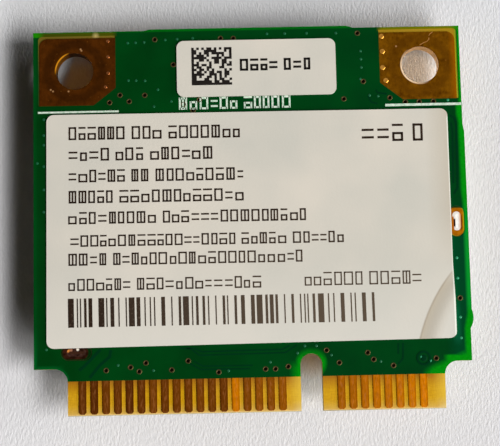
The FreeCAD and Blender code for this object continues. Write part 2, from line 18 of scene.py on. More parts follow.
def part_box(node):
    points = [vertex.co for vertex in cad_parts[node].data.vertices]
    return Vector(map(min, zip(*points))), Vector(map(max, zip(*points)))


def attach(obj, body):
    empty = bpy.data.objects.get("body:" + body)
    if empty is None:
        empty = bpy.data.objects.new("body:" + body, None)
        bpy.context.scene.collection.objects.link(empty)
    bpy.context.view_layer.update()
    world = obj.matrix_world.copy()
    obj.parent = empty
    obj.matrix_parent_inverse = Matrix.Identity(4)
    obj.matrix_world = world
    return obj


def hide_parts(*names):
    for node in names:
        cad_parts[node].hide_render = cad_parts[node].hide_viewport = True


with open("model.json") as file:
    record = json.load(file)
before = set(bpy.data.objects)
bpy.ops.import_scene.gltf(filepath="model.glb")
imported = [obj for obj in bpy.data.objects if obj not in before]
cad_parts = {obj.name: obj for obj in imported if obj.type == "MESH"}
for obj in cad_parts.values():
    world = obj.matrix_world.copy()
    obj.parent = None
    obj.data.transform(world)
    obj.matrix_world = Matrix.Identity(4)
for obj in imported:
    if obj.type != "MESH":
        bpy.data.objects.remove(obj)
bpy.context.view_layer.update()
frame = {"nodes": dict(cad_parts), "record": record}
MM = 0.001
BOARD_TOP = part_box("label_side_mask")[1][2] / MM
BOARD_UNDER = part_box("component_side_mask")[0][2] / MM
PAPER_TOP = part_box("large_label")[1][2] / MM
print("nodes", len(frame["nodes"]), "board from", round(BOARD_UNDER, 3), "to", round(BOARD_TOP, 3))

# %% [markdown]
# ## The camera
#
# The photographer stood almost straight above the card, a little towards its edge fingers. A camera
# can be aimed with angles, but here its three axes are written as a matrix, because a fit of the
# board's outline, holes and fingers gave them that way. The lens follows from the same fit.

# %% Camera
def photo_camera():
    data = bpy.data.cameras.new("photo_camera")
    data.sensor_fit = "HORIZONTAL"
    data.sensor_width = 36.0
    data.lens = 95.88
    data.clip_start = 0.005
    camera = bpy.data.objects.new("photo_camera", data)
    right = Vector((0.99973, -0.0221, 0.00739))
    up = Vector((0.02102, 0.99215, 0.12329))
    back = Vector((-0.01006, -0.1231, 0.99234))
    place = Vector((-1.000, -11.763, 91.239 + BOARD_TOP)) * MM
    turn = Matrix((right, up, back)).transposed().to_4x4()
    camera.matrix_world = Matrix.Translation(place) @ turn
    bpy.context.scene.collection.objects.link(camera)
    bpy.context.scene.camera = camera
    return camera


camera = photo_camera()
print("camera at", [round(v / MM, 2) for v in camera.location])

# %% [markdown]
# ## A short way to write materials
#
# Every finish here is built from nodes, so that it has no picture behind it and works at any size.
# Chains of nodes are long to write out, so a small class keeps one material's tree and offers the few
# nodes that this card needs: the place on the card in millimetres, a little arithmetic, blends between
# two colours, noise and bump. Colours are written as the 0 to 255 values that a screen shows.

# %% Colours as the screen shows them
def screen(red, green, blue):
    """A screen colour as the linear colour that Blender works in."""
    def linear(value):
        value /= 255
        return value / 12.92 if value <= 0.04045 else ((value + 0.055) / 1.055) ** 2.4
    return (linear(red), linear(green), linear(blue), 1.0)


print("middle grey", [round(v, 3) for v in screen(128, 128, 128)[:3]])


# %% The material writer
class Finish:
    """One material, its shader, and short ways to add nodes to it."""

    def __init__(self, name, roughness=0.5, metallic=0.0, specular=0.5):
        self.material = bpy.data.materials.new(name)
        self.material.use_nodes = True
        self.tree = self.material.node_tree
        self.shader = self.tree.nodes["Principled BSDF"]
        self.shader.inputs["Roughness"].default_value = roughness
        self.shader.inputs["Metallic"].default_value = metallic
        self.shader.inputs["Specular IOR Level"].default_value = specular
        spot = self.node("ShaderNodeTexCoord")
        self.place = self.node("ShaderNodeVectorMath", operation="SCALE")
        self.link(spot.outputs["Object"], self.place.inputs[0])
        self.place.inputs["Scale"].default_value = 1 / MM
        split = self.node("ShaderNodeSeparateXYZ")
        self.link(self.place.outputs[0], split.inputs[0])
        self.x, self.y, self.z = split.outputs

    def node(self, kind, **settings):
        made = self.tree.nodes.new(kind)
        for key, value in settings.items():
            setattr(made, key, value)
        return made

    def link(self, source, target):
        self.tree.links.new(source, target)

    def feed(self, target, value):
        """Link a socket, or write a plain value."""
        if isinstance(value, bpy.types.NodeSocket):
            self.link(value, target)
        else:
            target.default_value = value

    def maths(self, operation, first, second=0.0, third=0.0):
        made = self.node("ShaderNodeMath", operation=operation)
        for target, value in zip(made.inputs, (first, second, third)):
            self.feed(target, value)
        return made.outputs[0]

    def times(self, *factors):
        return self.fold("MULTIPLY", factors)

    def larger(self, *values):
        return self.fold("MAXIMUM", values)

    def fold(self, operation, values):
        """Join two or more values with one operation."""
        result = values[0]
        for value in values[1:]:
            result = self.maths(operation, result, value)
        return result

    def off(self, value, middle):
        """How far a value is from a middle one, to either side."""
        return self.maths("ABSOLUTE", self.maths("SUBTRACT", value, middle))

    def between(self, value, start, end):
        """0 before start, 1 after end, and even in between. Start may be the larger one."""
        made = self.node("ShaderNodeMapRange")
        self.feed(made.inputs["Value"], value)
        made.inputs["From Min"].default_value = start
        made.inputs["From Max"].default_value = end
        return made.outputs["Result"]

    def blend(self, amount, first, second):
        """First colour where amount is 0, second where it is 1."""
        made = self.node("ShaderNodeMix", data_type="RGBA")
        self.feed(made.inputs[0], amount)
        self.feed(made.inputs[6], first)
        self.feed(made.inputs[7], second)
        return made.outputs[2]

    def noise(self, scale, detail=3.0, stretch=(1.0, 1.0, 1.0), rough=0.5):
        """Noise from 0 to 1, with scale in lumps a millimetre."""
        squeeze = self.node("ShaderNodeMapping")
        self.link(self.place.outputs[0], squeeze.inputs["Vector"])
        squeeze.inputs["Scale"].default_value = stretch
        made = self.node("ShaderNodeTexNoise")
        self.link(squeeze.outputs[0], made.inputs["Vector"])
        made.inputs["Scale"].default_value = scale
        made.inputs["Detail"].default_value = detail
        made.inputs["Roughness"].default_value = rough
        return made.outputs[0]

    def round_spot(self, x, y, inner, outer):
        """1 inside the inner radius of a spot on the card, and 0 beyond the outer one."""
        return self.between(self.distance(x, y), outer, inner)

    def distance(self, x, y):
        across = self.maths("SUBTRACT", self.x, x)
        along = self.maths("SUBTRACT", self.y, y)
        square = self.times(across, across)
        square = self.maths("MULTIPLY_ADD", along, along, square)
        return self.maths("SQRT", square)

    def bump(self, height, depth):
        """Fine relief, with depth in millimetres."""
        made = self.node("ShaderNodeBump")
        made.inputs["Strength"].default_value = 1.0
        made.inputs["Distance"].default_value = depth * MM
        self.link(height, made.inputs["Height"])
        self.link(made.outputs[0], self.shader.inputs["Normal"])

    def colour(self, value):
        self.feed(self.shader.inputs["Base Color"], value)

    def rough(self, value):
        self.feed(self.shader.inputs["Roughness"], value)


finishes = {}


def keep(slot, finish):
    finishes[slot] = finish.material
    return finish


print("material writer ready")

# %% [markdown]
# ## Solder mask
#
# The mask is a thin coat of green lacquer over copper and glass fibre. Over the copper planes inside
# the board it looks dark. Where the planes stop short of an edge, light passes into the board and the
# same lacquer glows a clear green: along the right edge, at the shoulders, beside the key notch, and as
# a hairline along the other edges. One could paint these as separate pieces, but the lacquer is one
# coat, so its one material picks its colour by the place on the card.

# %% Where the mask glows
HOLE_X, HOLE_Y = 12.1, 10.5
NOTCH_X = 3.9
STRIP_STEPS = ((-8.0, -7.0, 0.22), (0.6, 1.6, -0.09), (6.4, 6.9, -0.11), (7.55, 7.65, 0.21))


def see_through(mask):
    """1 where light passes through the board, 0 over its copper planes."""
    strip_edge = 14.47
    for start, end, step in STRIP_STEPS:
        strip_edge = mask.maths("MULTIPLY_ADD", mask.between(mask.y, start, end), step, strip_edge)
    strip = mask.between(mask.maths("SUBTRACT", mask.x, strip_edge), -0.10, 0.12)
    shoulder_line = mask.maths("MULTIPLY_ADD", mask.x, 0.42, -15.72)
    below = mask.between(mask.maths("SUBTRACT", mask.y, shoulder_line), 0.25, -0.22)
    shoulder = mask.times(below, mask.between(mask.x, 11.4, 12.2))
    flange = mask.times(mask.between(mask.y, -9.72, -9.86), mask.between(mask.x, 12.9, 13.3))
    notch_round = mask.times(mask.round_spot(NOTCH_X, -10.12, 0.84, 1.14),
                             mask.between(mask.y, -8.9, -10.0))
    notch_side = mask.times(mask.between(mask.x, 2.35, 3.05), mask.between(mask.x, NOTCH_X, 3.8),
                            mask.between(mask.y, -9.9, -10.5))
    left_edge = mask.times(mask.between(mask.x, -14.72, -14.92),
                           mask.larger(mask.between(mask.y, -6.5, -9.5), 0.25))
    hairline = mask.times(mask.larger(left_edge, mask.between(mask.y, 13.18, 13.30)), 0.40)
    left_shoulder = mask.times(mask.between(mask.y, -9.92, -10.18), mask.between(mask.x, -12.9, -13.7))
    left_fillet = mask.times(mask.round_spot(-13.6, -11.1, 0.90, 1.10),
                             mask.between(mask.x, -12.4, -12.7))
    left_glow = mask.times(mask.larger(left_shoulder, left_fillet), 0.36)
    return mask.larger(strip, shoulder, flange, notch_round, notch_side, hairline, left_glow)


def bare_spot(finish):
    """A pale chip in the coat, above the left land."""
    return finish.times(finish.round_spot(-10.62, 13.02, 0.0, 0.30), 0.8)


print("glow placed")


# %% Solder mask
def solder_mask():
    mask = Finish("solder_mask", roughness=0.38, specular=0.02)
    side = mask.between(mask.x, -15.0, 15.0)
    lower = mask.between(mask.y, 1.0, -1.0)
    cloud = mask.between(mask.noise(0.35, 4.0), 0.35, 0.70)
    deep = mask.blend(side, screen(0, 54, 12), screen(0, 55, 20))
    deep = mask.blend(mask.times(cloud, 0.5), deep, screen(0, 72, 22))
    deep = mask.blend(mask.times(mask.between(mask.x, 13.2, 14.0), lower), deep, screen(0, 65, 32))
    # Painted sheen: a lighter teal streak on the mask to the right of the label's lower end.
    sheen = mask.times(mask.between(mask.x, 13.6, 13.9), mask.between(mask.x, 14.3, 14.1),
                       mask.between(mask.y, -5.9, -6.8), mask.between(mask.y, -9.2, -8.7))
    deep = mask.blend(mask.times(sheen, 0.5), deep, screen(12, 90, 58))
    fine = mask.between(mask.noise(9.0, 2.0), 0.3, 0.7)
    glow = mask.blend(fine, screen(2, 130, 10), screen(4, 146, 16))
    cool = mask.times(lower, mask.between(mask.y, -7.0, -6.3), 0.8)
    glow = mask.blend(cool, glow, screen(8, 144, 46))
    stub_rim = mask.times(mask.between(mask.x, 15.02, 15.14), mask.between(mask.y, 0.0, -2.0))
    glow = mask.blend(stub_rim, glow, screen(12, 152, 62))
    glow = mask.blend(mask.between(mask.x, -10.0, -12.0), glow, screen(0, 126, 50))
    colour = mask.blend(see_through(mask), deep, glow)
    from_middle = mask.maths("ABSOLUTE", mask.x)
    above_land = mask.times(mask.between(from_middle, 9.1, 9.5), mask.between(mask.y, 12.92, 13.0))
    border = mask.blend(side, screen(56, 66, 6), screen(116, 116, 6))
    border = mask.blend(mask.between(mask.y, 13.18, 13.34), border, screen(14, 112, 26))
    border = mask.blend(mask.between(from_middle, 14.2, 14.75), border, screen(28, 132, 4))
    border = mask.blend(bare_spot(mask), border, screen(196, 178, 110))
    mask.colour(mask.blend(above_land, colour, border))
    mask.bump(mask.noise(5.0, 4.0), 0.004)
    return keep("solder_mask", mask)


solder_mask()
print("solder mask")

# %% [markdown]
# ## Bare laminate
#
# Glass fibre in yellow resin shows on the tab between the fingers, in the narrow border of each screw
# land's window, and on the routed edges. It is thickest in colour where it lies over copper on the
# other side, and pales towards the tab's ends and lower edge, where light passes through. A fine weave
# shows in it at close range.

# %% Bare laminate
def laminate():
    resin = Finish("laminate", roughness=0.5, specular=0.03)
    warp = resin.noise(2.4, 2.0, (1.0, 6.0, 1.0))
    weft = resin.noise(2.4, 2.0, (6.0, 1.0, 1.0))
    cloth = resin.between(resin.maths("ADD", warp, weft), 0.8, 1.25)
    low = resin.between(resin.y, -12.6, -13.4)
    beside_notch = resin.times(resin.between(resin.x, 2.3, 3.1), resin.between(resin.x, 4.6, NOTCH_X))
    ends = resin.larger(resin.between(resin.x, 12.1, 13.0), beside_notch)
    light = resin.larger(resin.times(ends, low), resin.times(ends, 0.6), resin.times(low, 0.30))
    amber = resin.blend(cloth, screen(204, 148, 0), screen(220, 166, 4))
    amber = resin.blend(resin.between(resin.y, -12.0, -11.1), amber, screen(170, 106, 4))
    pale = resin.blend(low, screen(246, 208, 70), screen(238, 216, 156))
    tab = resin.blend(light, amber, pale)
    tab = resin.blend(resin.between(resin.y, -13.28, -13.36), tab, screen(236, 190, 128))
    olive = resin.blend(resin.between(resin.x, -13.0, 13.0), screen(100, 84, 4), screen(166, 128, 0))
    olive = resin.blend(resin.between(resin.x, 14.56, 14.62), olive, screen(160, 158, 14))
    olive = resin.blend(resin.between(resin.x, 14.64, 14.72), olive, screen(40, 142, 20))
    over_ring = resin.times(resin.between(resin.y, 0.27, 0.33), resin.between(resin.y, 1.0, 0.9))
    olive = resin.blend(over_ring, olive, screen(0, 60, 18))
    far_left = resin.times(resin.between(resin.x, -14.4, -14.6), resin.between(resin.y, 11.8, 10.4))
    olive = resin.blend(far_left, olive, screen(24, 62, 16))
    olive = resin.blend(bare_spot(resin), olive, screen(196, 172, 104))
    olive = resin.blend(resin.round_spot(-12.1, -9.1, 1.1, 1.3), olive, screen(6, 46, 12))
    colour = resin.blend(resin.between(resin.y, -10.8, -10.2), tab, olive)
    layers = resin.between(resin.noise(1.0, 2.0, (0.2, 0.2, 14.0)), 0.38, 0.62)
    routed_tone = resin.blend(layers, screen(142, 128, 78), screen(182, 168, 118))
    resin.colour(resin.blend(resin.between(resin.z, 2.57, 2.50), colour, routed_tone))
    resin.bump(cloth, 0.003)
    return keep("laminate", resin)


laminate()
print("laminate")

# %% [markdown]
# ## Gold and copper
#
# The fingers and lands carry a thin gold plating. A metal has almost no colour of its own: it tints
# what it mirrors. On this card the left land and fingers mirror a dark room and look brown, while
# those on the right catch the window and turn orange. Real reflections would need that room, so the
# finishes darken towards the left instead, and the worn fingers get fine scratches along the way that
# a slot wipes them.

# %% Edge fingers
FIRST_FINGER, PITCH = -11.7, 0.8


def finger_gold():
    gold = Finish("finger_gold", roughness=0.34, metallic=1.0)
    from_first = gold.maths("SUBTRACT", gold.x, FIRST_FINGER)
    number = gold.maths("ROUND", gold.maths("DIVIDE", from_first, PITCH))
    off_middle = gold.off(from_first, gold.times(number, PITCH))
    chance_of = gold.node("ShaderNodeTexWhiteNoise", noise_dimensions="1D")
    gold.link(number, chance_of.inputs["W"])
    chance = chance_of.outputs["Value"]
    # Painted reflection: brighter to the right, where the gold mirrors the window; one finger in full.
    warm = gold.maths("POWER", gold.between(gold.x, -12.0, 12.0), 2.2)
    warm = gold.maths("ADD", warm, gold.times(gold.maths("SUBTRACT", chance, 0.5), 0.16))
    bright_one = gold.maths("COMPARE", number, 13.0, 0.3)
    warm = gold.larger(warm, bright_one)
    brown = gold.blend(chance, screen(84, 40, 4), screen(98, 50, 8))
    base = gold.blend(gold.between(warm, 0.0, 1.0), brown, screen(196, 114, 0))
    blotch = gold.between(gold.noise(2.6, 5.0, (1.6, 1.0, 1.0), 0.65), 0.35, 0.68)
    base = gold.blend(gold.times(blotch, 0.3), base, screen(52, 16, 2))
    streak = gold.between(gold.noise(6.0, 4.0, (3.0, 0.5, 1.0)), 0.46, 0.68)
    streak = gold.times(streak, gold.between(off_middle, 0.176, 0.048))
    worn = gold.blend(gold.times(streak, 0.42), base, screen(158, 104, 58))
    rim = gold.between(off_middle, 0.17, 0.26)
    gold.colour(gold.blend(gold.times(rim, 0.5), worn, screen(70, 34, 8)))
    gold.rough(gold.between(streak, -1.2, 1.6))
    gold.bump(gold.noise(8.0, 4.0, (3.0, 0.3, 1.0)), 0.006)
    return keep("finger_gold", gold)


finger_gold()
print("finger gold")


# %% [markdown]
# ## The screw lands
#
# A screw head has been tightened on each land. On the left one it has left a faint ring and a few
# bright specks. The left land is painted dark brown and the right one golden: painted reflection of a
# dark room on the left and of the window on the right. The right one has one crooked scratch, which is
# added further on as a thin line of bright metal.

# %% Screw lands
def land_copper(slot, hole_x, dull, fair, ring_shade, wall_reflection, rim_highlight, highlight_way, highlight_from, nicks):
    copper = Finish(slot, roughness=0.36, metallic=1.0)
    smear = copper.noise(0.8, 5.0, (1.0, 1.6, 1.0), 0.6)
    fine = copper.noise(3.2, 4.0, (1.4, 0.9, 1.0), 0.65)
    blotch = copper.maths("ADD", copper.between(smear, 0.35, 0.68), copper.between(fine, 0.32, 0.68))
    base = copper.blend(copper.times(blotch, 0.5), dull, fair)
    far = copper.distance(hole_x, HOLE_Y)
    ring = copper.times(copper.between(far, 1.5, 1.75), copper.between(far, 2.35, 2.1))
    base = copper.blend(copper.times(ring, 0.55), base, ring_shade)
    specks = copper.between(copper.noise(7.0, 2.0), 0.72, 0.80)
    base = copper.blend(copper.times(specks, 0.5), base, screen(200, 132, 60))
    edge = copper.between(copper.x, 14.1, 14.6)
    base = copper.blend(copper.times(edge, 0.8), base, screen(158, 92, 0))
    for x, y in nicks:
        base = copper.blend(copper.round_spot(x, y, 0.02, 0.09), base, screen(180, 134, 88))
    # Painted reflection on the hole wall: dark brown in the left hole and pale cream in the right one.
    wall = copper.between(copper.z, 2.585, 2.55)
    base = copper.blend(wall, base, wall_reflection)
    # Painted highlight: a bright arc on the rim of each hole, on one side only.
    along_x = copper.times(copper.maths("SUBTRACT", copper.x, hole_x), highlight_way[0])
    along_y = copper.times(copper.maths("SUBTRACT", copper.y, HOLE_Y), highlight_way[1])
    towards = copper.maths("ADD", along_x, along_y)
    rim = copper.times(copper.between(towards, highlight_from, 1.25), copper.between(far, 1.41, 1.36))
    copper.colour(copper.blend(rim, base, rim_highlight))
    copper.bump(copper.noise(6.0, 5.0), 0.006)
    return keep(slot, copper)


# Painted reflection: the left land is dark brown and the right one golden.
land_copper("tarnished_copper", -HOLE_X, screen(54, 25, 2), screen(88, 45, 8), screen(46, 22, 4),
            screen(84, 52, 36), screen(226, 150, 30), (-0.84, 0.54), 1.0,
            ((-11.62, 11.97), (-11.68, 12.07), (-12.54, 9.08), (-13.78, 9.21), (-13.62, 9.10)))
land_copper("golden_copper", HOLE_X, screen(74, 40, 0), screen(132, 84, 8), screen(92, 54, 4),
            screen(236, 196, 140), screen(255, 222, 180), (-0.86, -0.5), 0.1,
            ((10.46, 11.85),))
print("screw lands")


# %% [markdown]
# ## Rings of the plated slots
#
# Each leg of the shield passes through a slot with a plated rim. The right rim is golden and the left
# one nearly black: painted reflection of the window and of a dark room. The right rim has a darker line
# beside the solder. Lacquer has crept over the left rim's ends, so the finish turns green there.

# %% Rings of the plated slots
def slot_copper():
    ring = Finish("plated_copper", roughness=0.3, metallic=1.0)
    patch = ring.between(ring.noise(3.0, 3.0), 0.4, 0.65)
    # Painted reflection: golden on the right, nearly black on the left.
    right = ring.blend(patch, screen(162, 90, 4), screen(186, 112, 10))
    beside_solder = ring.times(ring.between(ring.x, 14.45, 14.48), ring.between(ring.x, 14.61, 14.55),
                               ring.round_spot(14.215, -0.7, 0.50, 0.72))
    right = ring.blend(beside_solder, right, screen(108, 56, 4))
    right = ring.blend(ring.between(ring.x, 14.64, 14.69), right, screen(196, 168, 20))
    right = ring.blend(ring.between(ring.y, 0.27, 0.35), right, screen(0, 60, 18))
    left = ring.blend(patch, screen(34, 17, 8), screen(62, 32, 20))
    right_end = ring.times(ring.between(ring.distance(-11.79, -9.1), 0.46, 0.54),
                           ring.between(ring.x, -11.80, -11.76))
    left_end = ring.times(ring.between(ring.distance(-12.56, -9.1), 0.46, 0.54),
                          ring.between(ring.x, -12.55, -12.59))
    covered = ring.larger(right_end, left_end, ring.between(ring.y, -9.52, -9.58))
    left = ring.blend(covered, left, screen(6, 46, 12))
    ring.colour(ring.blend(ring.between(ring.x, -6.0, 6.0), left, right))
    ring.bump(ring.noise(8.0), 0.004)
    return keep("plated_copper", ring)


slot_copper()
print("slot rings")


# %% [markdown]
# ## Solder, tin plate and white ink
#
# The shield can is rolled tin plate, whose rolling marks run one way and whose tin has dulled in cloudy
# patches. The ends of its legs are wetted with solder. Solder cools with a bright, slightly lumpy skin:
# the right slot shows it white, with a dark slit. The left slot and the leg end in it are painted dark
# brown as painted shade, but for a few painted glints. The ink is plain white, a little uneven where
# the screen printed thin.

# %% Tin plate, leads and lids
def bright_metal(slot, shade, light, roughness, stretch, depth, leg_ends=False):
    metal = Finish(slot, roughness=roughness, metallic=0.85)
    grain = metal.noise(3.0, 5.0, stretch, 0.65)
    cloud = metal.between(metal.noise(0.45, 3.0), 0.35, 0.7)
    tone = metal.blend(cloud, shade, light)
    if leg_ends:
        # The leg ends are solder: white at the right slot, dark brown as painted shade at the left one.
        side = metal.between(metal.x, -6.0, 6.0)
        solder_and_painted_shade = metal.blend(side, screen(58, 30, 14), screen(248, 244, 236))
        tone = metal.blend(metal.between(metal.z, 2.30, 2.45), tone, solder_and_painted_shade)
    metal.colour(tone)
    metal.rough(metal.between(grain, 0.5 - roughness * 2.2, 0.5 + (1 - roughness) * 1.6))
    metal.bump(grain, depth)
    return keep(slot, metal)


bright_metal("tin_plate", screen(176, 176, 172), screen(200, 199, 193), 0.32, (0.15, 4.0, 1.0), 0.003,
             leg_ends=True)
bright_metal("tinned_lead", screen(188, 188, 184), screen(210, 208, 202), 0.30, (1.0, 1.0, 1.0), 0.004)
bright_metal("plated_lid", screen(196, 190, 170), screen(214, 208, 186), 0.28, (0.3, 3.0, 1.0), 0.003)
bright_metal("socket_gold", screen(214, 162, 70), screen(232, 182, 92), 0.28, (1.0, 1.0, 1.0), 0.004)
print("metals", len(finishes))


# %% Solder in the two slots
def solder():
    metal = Finish("solder", roughness=0.3, metallic=1.0)
    lumps = metal.noise(3.0, 4.0)
    bright = metal.blend(metal.between(lumps, 0.35, 0.65), screen(232, 226, 216), screen(255, 252, 246))
    bright = metal.blend(metal.between(metal.x, 14.36, 14.46), bright, screen(236, 176, 130))
    brown_side = metal.times(metal.between(metal.x, 14.05, 14.00), metal.between(metal.y, -0.20, -0.36))
    bright = metal.blend(brown_side, bright, screen(190, 104, 30))
    slit = metal.times(metal.between(metal.off(metal.x, 14.06), 0.08, 0.04),
                       metal.between(metal.off(metal.y, -0.72), 0.32, 0.22))
    bright = metal.blend(slit, bright, screen(30, 14, 4))
    # Painted shade: the left slot's solder is dark brown, with three small painted glints.
    dark = metal.blend(metal.between(lumps, 0.4, 0.6), screen(40, 20, 12), screen(76, 50, 42))
    for x, y, inner, outer, shade in ((-12.46, -8.92, 0.02, 0.14, screen(190, 130, 100)),
                                      (-12.66, -8.96, 0.04, 0.16, screen(240, 156, 74)),
                                      (-12.01, -8.89, 0.06, 0.12, screen(255, 246, 228))):
        dark = metal.blend(metal.round_spot(x, y, inner, outer), dark, shade)
    metal.colour(metal.blend(metal.between(metal.x, -6.0, 6.0), dark, bright))
    metal.bump(lumps, 0.010)
    return keep("solder", metal)


solder()
print("solder")


# %% Ink
def white_ink():
    ink = Finish("white_ink", roughness=0.7, specular=0.2)
    thin = ink.between(ink.noise(5.0, 4.0), 0.35, 0.6)
    ink_colour = ink.blend(thin, screen(176, 206, 180), screen(226, 236, 220))
    worn_edge = ink.times(ink.between(ink.y, 7.545, 7.515), ink.between(ink.x, -6.0, -6.5))
    ink.colour(ink.blend(worn_edge, ink_colour, screen(0, 58, 18)))
    ink.bump(ink.noise(12.0), 0.003)
    return keep("white_ink", ink)


white_ink()
print("white ink")


# %% [markdown]
# ## Mouldings and fired parts
#
# Chips are black filled resin with a sandy skin, and the small parts are fired ceramic or pressed
# powder. They sit under the shield, so they only show in cut-away views, but each still gets a grain
# of its own size.

# %% Mouldings and fired parts
def grainy(slot, shade, light, roughness, lumps, depth):
    stuff = Finish(slot, roughness=roughness, specular=0.35)
    grain = stuff.between(stuff.noise(lumps, 4.0, rough=0.6), 0.3, 0.7)
    stuff.colour(stuff.blend(grain, shade, light))
    stuff.bump(grain, depth)
    return keep(slot, stuff)


grainy("chip_moulding", screen(24, 24, 26), screen(40, 40, 42), 0.6, 14.0, 0.006)
grainy("ceramic", screen(196, 188, 170), screen(216, 208, 192), 0.55, 10.0, 0.004)
grainy("ferrite", screen(54, 54, 58), screen(80, 80, 84), 0.7, 12.0, 0.010)
grainy("capacitor_ceramic", screen(150, 112, 74), screen(176, 136, 94), 0.5, 12.0, 0.004)
grainy("resistor_glaze", screen(16, 16, 20), screen(36, 36, 44), 0.25, 6.0, 0.002)
grainy("socket_moulding", screen(214, 206, 184), screen(230, 224, 206), 0.5, 8.0, 0.003)
print("fired parts", len(finishes))

# %% [markdown]
# ## Label paper
#
# The labels are matt, slightly warm white paper that has yellowed a little unevenly. A crease runs
# round the large label's lower right corner, where it was lifted once and pressed down again. The
# crease is part of a circle, so its painted shade, a dark line and a shaded band on the corner's side,
# can be found from the distance to that circle's centre, and the same circle shapes the paper further
# on. The label's right edge is painted a little darker as painted shade, and a thin painted highlight
# runs along its right cut edge.

# %% Label paper
CREASE_X, CREASE_Y, CREASE_RADIUS = 22.67, -11.65, 11.68


def label_paper():
    paper = Finish("label_paper", roughness=0.8, specular=0.15)
    stain = paper.between(paper.noise(0.16, 3.0), 0.35, 0.7)
    base = paper.blend(stain, screen(222, 214, 200), screen(208, 204, 192))
    low = paper.between(paper.y, -3.0, -9.0)
    base = paper.blend(paper.times(low, 0.5), base, screen(226, 222, 212))
    # Painted shade along the label's right edge, where it rounds over.
    painted_edge_shade = paper.times(paper.between(paper.x, 12.2, 13.9), paper.between(paper.y, -4.0, 0.0), 0.7)
    base = paper.blend(painted_edge_shade, base, screen(196, 184, 164))
    past = paper.maths("SUBTRACT", CREASE_RADIUS, paper.distance(CREASE_X, CREASE_Y))
    lifted = paper.between(paper.y, -3.2, -5.0)
    # Painted shade: a shaded band beside the crease on the corner's side, and a dark line along it.
    shade = paper.times(paper.between(past, -0.06, 0.05), paper.between(past, 1.5, 0.0), lifted, 0.75)
    base = paper.blend(shade, base, screen(190, 176, 152))
    line = paper.times(paper.between(past, -0.10, 0.0), paper.between(past, 0.10, 0.0), lifted, 0.6)
    base = paper.blend(line, base, screen(150, 134, 112))
    # Painted highlight along the lit right cut edge of the label.
    painted_edge_highlight = paper.times(paper.between(paper.x, 13.76, 13.80), paper.between(paper.y, 6.9, 6.6), 0.9)
    paper.colour(paper.blend(painted_edge_highlight, base, screen(250, 252, 238)))
    paper.bump(paper.noise(6.0, 5.0, rough=0.6), 0.006)
    return keep("label_paper", paper)


label_paper()
print("label paper")

# %% [markdown]
# ## Handing out the finishes
#
# The record says which finish each solid has. The solids stay as they are, and only the material in
# each of their slots is changed.

# %% Give each solid its finish
slot_of = {part["node"]: part["material_slot"] for part in frame["record"]["subparts"]}
for node, solid in frame["nodes"].items():
    finish = finishes[slot_of[node]]
    if not solid.data.materials:
        solid.data.materials.append(finish)
    for index in range(len(solid.data.materials)):
        solid.data.materials[index] = finish
print("finished solids", len(frame["nodes"]))

# %% [markdown]
# ## A helper for new pieces
#
# The pieces that follow are small and many, so they are collected as lists of corners and faces and
# made into one mesh a kind. Each rides on the card.

# %% New pieces
class Shapes:
    """Corners and faces of one piece, in millimetres."""

    def __init__(self):
        self.points = []
        self.faces = []

    def loops(self, rings, closed_ends=True):
        """Skin a stack of rings that have the same number of points."""
        count = len(rings[0])
        start = len(self.points)
        for ring in rings:
            self.points += ring
        for level in range(len(rings) - 1):
            for i in range(count):
                j = (i + 1) % count
                a = start + level * count
                self.faces.append((a + i, a + j, a + count + j, a + count + i))
        if closed_ends:
            self.faces.append(tuple(start + i for i in reversed(range(count))))
            last = start + (len(rings) - 1) * count
            self.faces.append(tuple(last + i for i in range(count)))

    def bar(self, x0, y0, x1, y1, width, z0, z1):
        """A straight bar between two points, seen from above."""
        long = math.hypot(x1 - x0, y1 - y0)
        sx, sy = -(y1 - y0) / long * width / 2, (x1 - x0) / long * width / 2
        plan = [(x0 - sx, y0 - sy), (x1 - sx, y1 - sy), (x1 + sx, y1 + sy), (x0 + sx, y0 + sy)]
        self.loops([[(x, y, z0) for x, y in plan], [(x, y, z1) for x, y in plan]])

    def piece(self, name, material, slot, smooth=False):
        mesh = bpy.data.meshes.new(name)
        mesh.from_pydata([Vector(p) * MM for p in self.points], [], self.faces)
        mesh.validate()
        mesh.materials.append(material)
        if smooth:
            mesh.shade_smooth()
        made = bpy.data.objects.new(name, mesh)
        bpy.context.scene.collection.objects.link(made)
        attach(made, "root")
        print(name, "faces", len(mesh.polygons))
        return made


def circle(x, y, radius, z, count=16):
    turns = [2 * math.pi * i / count for i in range(count)]
    return [(x + radius * math.cos(t), y + radius * math.sin(t), z) for t in turns]


print("helpers ready")

# %% [markdown]
# ## Vias
#
# A via is a tiny plated hole that joins the copper layers. Some are left open, and show a dark bore in
# a thin brown ring; the bore is a near-black disc, painted shade in place of the hole's dark inside.
# Others are closed by the mask and show as a pimple with a painted glint. Drilling them in the solids
# would cost thousands of faces, so each is a small turned shape that stands a hundredth or two of a
# millimetre out of the mask.

# %% A finish in two close shades
def speckled(name, lumps, shade, light, **settings):
    made = Finish(name, **settings)
    made.colour(made.blend(made.noise(lumps), shade, light))
    return made.material


via_copper = speckled("via_copper", 4.0, screen(50, 44, 22), screen(84, 70, 44),
                      roughness=0.4, metallic=1.0)
# Painted shade: a near-black disc stands in for the dark inside of each open via.
via_hole_shade = speckled("via_hole_shade", 8.0, screen(6, 4, 0), screen(16, 10, 4), roughness=0.9, specular=0.0)
print("via finishes")

